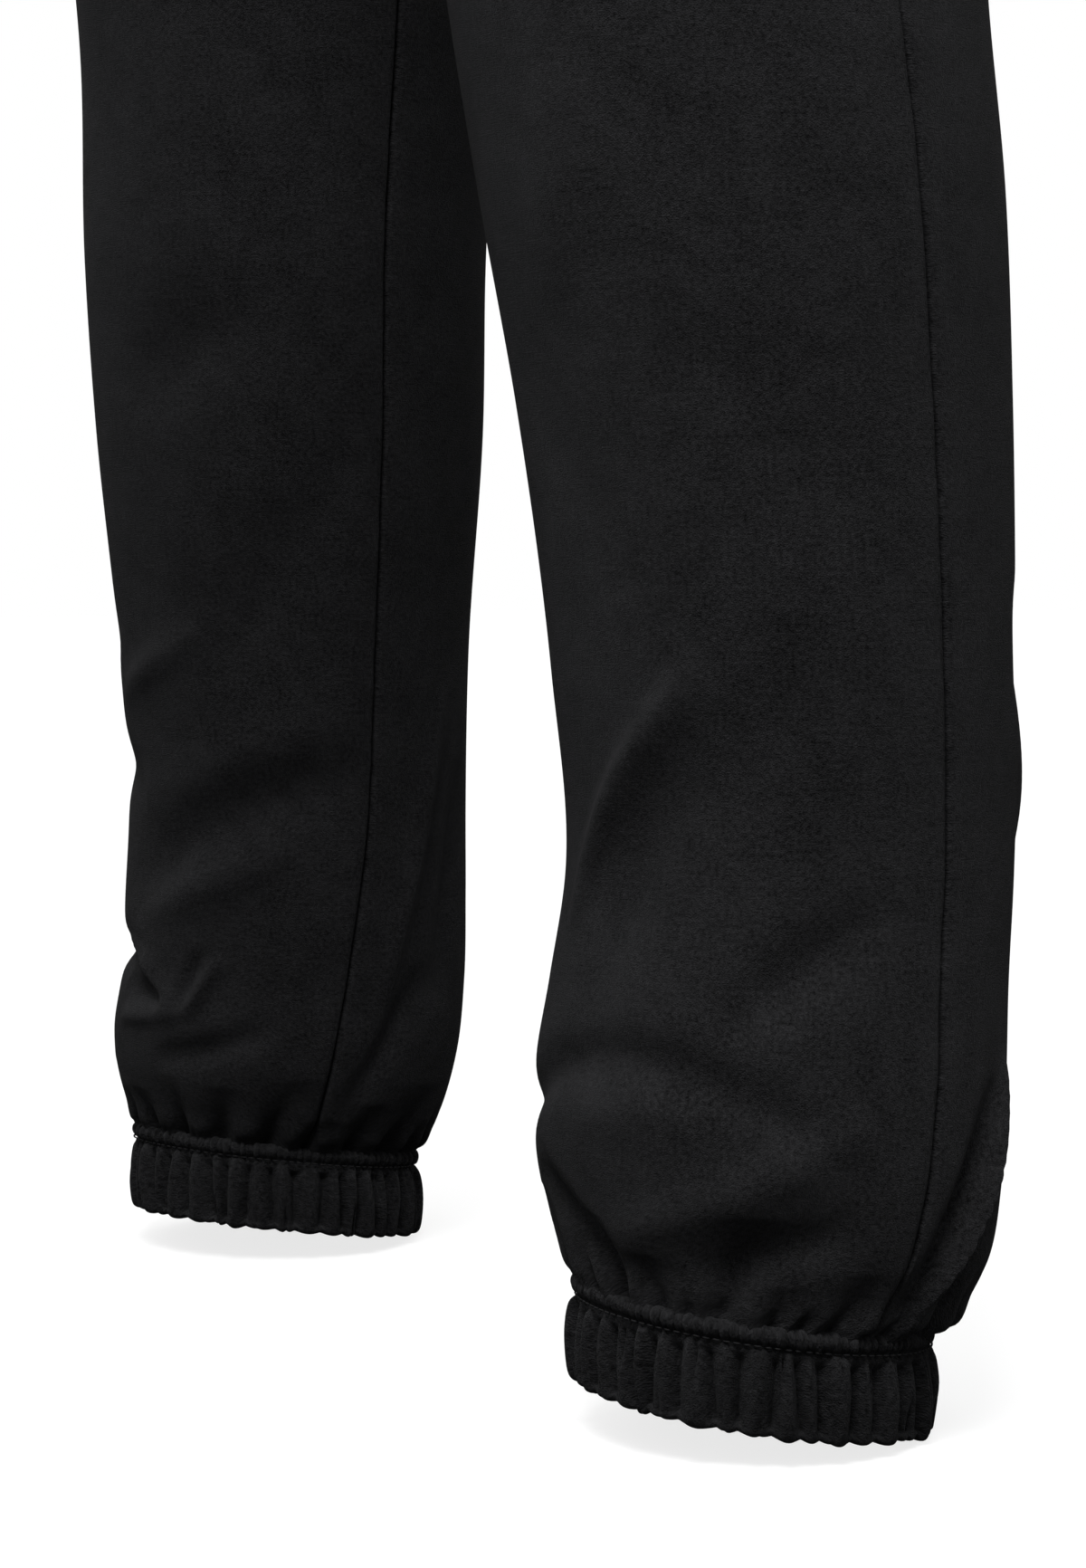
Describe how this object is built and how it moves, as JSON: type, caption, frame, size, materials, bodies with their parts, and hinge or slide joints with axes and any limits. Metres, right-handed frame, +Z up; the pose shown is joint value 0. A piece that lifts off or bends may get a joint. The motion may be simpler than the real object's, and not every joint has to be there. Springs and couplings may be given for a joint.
{
  "type": "jogger sweatpants",
  "caption": "Full-length jogger sweatpants in their worn, hollow form, with a gathered elastic waistband and gathered elastic cuffs at the ankles.",
  "frame": {"origin": "the middle of the waist opening, half way up the waistband, where the wearer holds the garment up", "axes": "+Z up from the ankle cuffs to the waist, -Y the wearer's front, +X the wearer's left"},
  "size_m": [0.4576, 0.2569, 1.0321],
  "materials": {
    "fleece": "matt black sweatshirt fleece with a smooth knit face and a faint brushed nap",
    "casing": "the same matt black fleece, doubled and gathered over elastic"
  },
  "bodies": {
    "root": {"front_left": "fleece", "front_right": "fleece", "back_left": "fleece", "back_right": "fleece", "cuff_left": "casing", "cuff_right": "casing", "waistband": "casing"}
  },
  "joints": []
}
